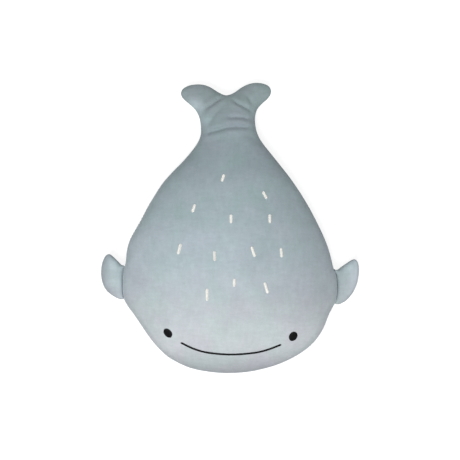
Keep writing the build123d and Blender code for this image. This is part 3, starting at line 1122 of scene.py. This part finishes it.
def smile_pairs():
    """Stitches across the smile's line."""
    p = np.array(SMILE, float)
    p = np.vstack([2 * p[0] - p[1], p, 2 * p[-1] - p[-2]])
    samples = []
    for i in range(len(p) - 3):
        samples += spline_run(*p[i:i + 4], 0.02)
    line = np.array(samples)
    steps = np.concatenate([[0], np.cumsum(np.linalg.norm(np.diff(line, axis=0), axis=1))])
    places = np.arange(0, steps[-1], STITCH_PITCH)
    line = np.column_stack([np.interp(places, steps, line[:, k]) for k in (0, 1)])
    tangent = np.gradient(line, axis=0)
    tangent /= np.linalg.norm(tangent, axis=1)[:, None]
    side = np.column_stack([-tangent[:, 1], tangent[:, 0]])
    ends = np.minimum(places, places[-1] - places)
    half = SMILE_WIDTH / 2 * np.clip(0.45 + ends / 3.0, 0, 1)
    slant = tangent * STITCH_PITCH / 4
    return [(m - s * h - k, m + s * h + k) for m, s, h, k in zip(line, side, half, slant)]


def embroider(node, pairs, bulge, slot, seed):
    """Satin stitches in place of one embroidered node."""
    piece = make_object(f"{node}_satin", *satin_stitches(pairs, bulge, seed))
    piece.data.materials.append(SATINS[slot])
    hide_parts(node)
    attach(piece, "torso")


for side, (centre, long_side, short_side, lean) in EYES.items():
    pairs = across_pairs(centre, -lean, long_side, oval(short_side))
    embroider(f"{side}_eye", pairs, 1.0, "black_satin_thread", lean)
embroider("smile", smile_pairs(), 0.75, "black_satin_thread", 5.0)
for number, (centre, length, lean) in enumerate(DASHES, 1):
    pairs = across_pairs(centre, lean, length, bar(DASH_WIDTH, length))
    embroider(f"dash_{number}", pairs, 0.8, "cream_satin_thread", 10.0 + number)


def face_backing():
    """The oval of non-woven cloth behind the face."""
    low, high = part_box("face_backing")
    middle = np.array([(low.x + high.x) / 2, (low.y + high.y) / 2]) / MM
    half = np.array([(high.x - low.x) / 2, (high.y - low.y) / 2]) / MM
    rings, spokes, behind = 14, 96, 0.25
    points = [middle]
    for ring in range(1, rings + 1):
        for spoke in range(spokes):
            turn = 2 * math.pi * spoke / spokes
            points.append(middle + half * ring / rings * np.array([math.cos(turn), math.sin(turn)]))
    xyz = []
    for point in points:
        spot, normal = on_front(*point)
        xyz.append(tuple(spot - normal * (CLOTH + behind)))
    faces = [(0, 1 + j, 1 + (j + 1) % spokes) for j in range(spokes)]
    for ring in range(rings - 1):
        a, b = 1 + ring * spokes, 1 + (ring + 1) * spokes
        faces += [(a + j, b + j, b + (j + 1) % spokes, a + (j + 1) % spokes) for j in range(spokes)]
    return xyz, faces


backing = thicken(make_object("face_backing_cloth", *face_backing()), 0.4)
backing.data.materials.append(BACKING)
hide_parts("face_backing")
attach(backing, "torso")


# ---- Camera, light and floor ----

LENS = 85
SENSOR = 36
# Width of the plan that the camera takes in, level with the seam.
VIEW_WIDTH = 0.714
FLOOR_HALF = 4.0


def area_light(name, place, target, size, power):
    """A round soft lamp, turned towards its target."""
    data = bpy.data.lights.new(name, "AREA")
    data.shape = "DISK"
    data.size = size
    data.energy = power
    light = add_to_scene(name, data)
    light.location = place
    light.rotation_euler = (Vector(target) - Vector(place)).to_track_quat("-Z", "Y").to_euler()


def make_world():
    """Even dim light from all round, on a white background."""
    world = bpy.data.worlds.new("studio")
    bpy.context.scene.world = world
    tree = Tree(world)
    seen = tree.node("LightPath").outputs["Is Camera Ray"]
    strength = tree.mapped(seen, (0, 1), (0.3, 1.0))
    tree.fill(tree.nodes["Background"], {"Color": (1, 1, 1, 1), "Strength": strength})


def make_floor():
    """A plain white floor that keeps the cushion's shadow."""
    r = FLOOR_HALF
    mesh = bpy.data.meshes.new("floor")
    mesh.from_pydata([(-r, -r, 0), (r, -r, 0), (r, r, 0), (-r, r, 0)], [], [(0, 1, 2, 3)])
    floor = add_to_scene("floor", mesh)
    material, tree, shader = new_material("floor")
    seen = tree.node("LightPath").outputs["Is Camera Ray"]
    tree.fill(shader, {
        "Base Color": (0.45, 0.45, 0.45, 1),
        "Roughness": 0.9,
        "Specular IOR Level": 0.0,
        "Emission Color": (1, 1, 1, 1),
        "Emission Strength": tree.node("Math", {0: seen, 1: 0.8}, operation="MULTIPLY").outputs[0],
    })
    floor.data.materials.append(material)


bpy.context.scene.view_settings.view_transform = "Standard"
camera_data = bpy.data.cameras.new("camera")
camera_data.lens = LENS
camera_data.sensor_width = SENSOR
camera = add_to_scene("camera", camera_data)
distance = VIEW_WIDTH / 2 / math.tan(math.atan(SENSOR / 2 / LENS))
camera.location = (-0.0002, -0.0033, SEAM_Z * MM + distance)
bpy.context.scene.camera = camera

area_light("key", place=(-0.2, -0.55, 1.8), target=(0, -0.05, 0.05), size=0.7, power=20.8)
area_light("top", place=(0.0, 0.3, 2.2), target=(0, 0, 0.05), size=1.0, power=5)
make_world()
make_floor()
